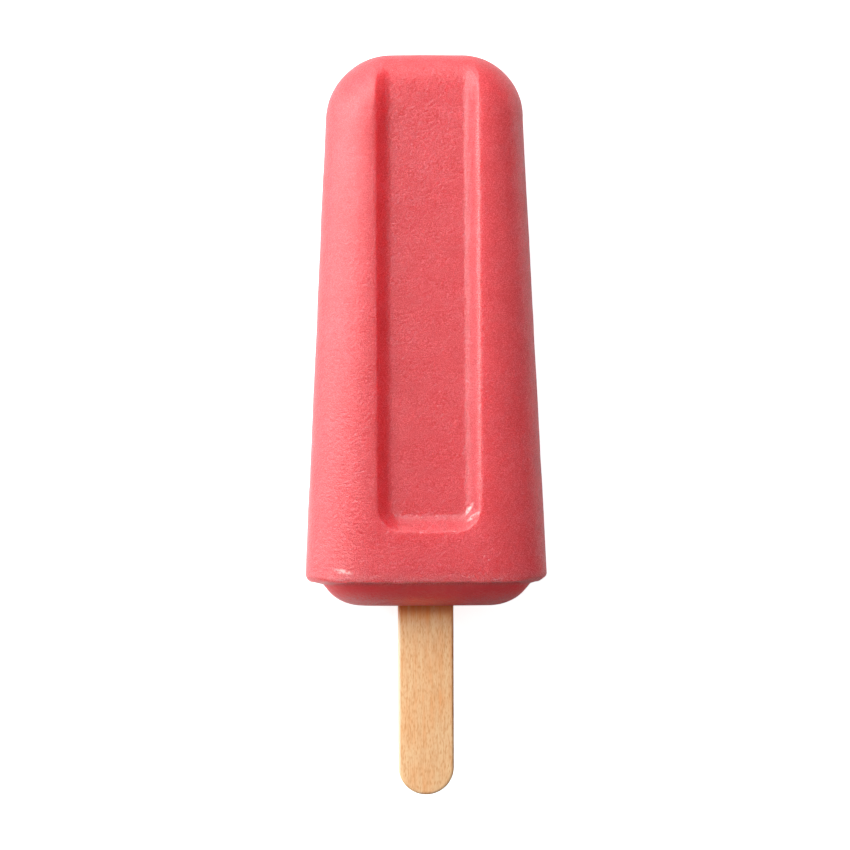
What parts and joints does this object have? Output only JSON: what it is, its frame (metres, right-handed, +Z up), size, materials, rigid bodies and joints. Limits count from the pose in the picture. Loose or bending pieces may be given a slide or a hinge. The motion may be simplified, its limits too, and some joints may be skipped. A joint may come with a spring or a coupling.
{
  "type": "ice pop",
  "caption": "Moulded fruit ice bar with a sunken panel in each broad face, on a flat wooden stick, lying on its back.",
  "frame": {"origin": "bottom centre of the bounding box, on the surface the pop lies on", "axes": "+Y along the pop towards the bar's rounded tip, +Z up out of its front face, +X across its width"},
  "size_m": [0.0432, 0.1326, 0.026],
  "materials": {
    "fruit_ice": "frozen strawberry-red fruit ice, satin, slightly translucent, with a fine frosty grain",
    "birch": "raw pale birch, fine straight grain along the stick"
  },
  "bodies": {
    "root": {"frozen_bar": "fruit_ice", "stick": "birch"}
  },
  "joints": []
}
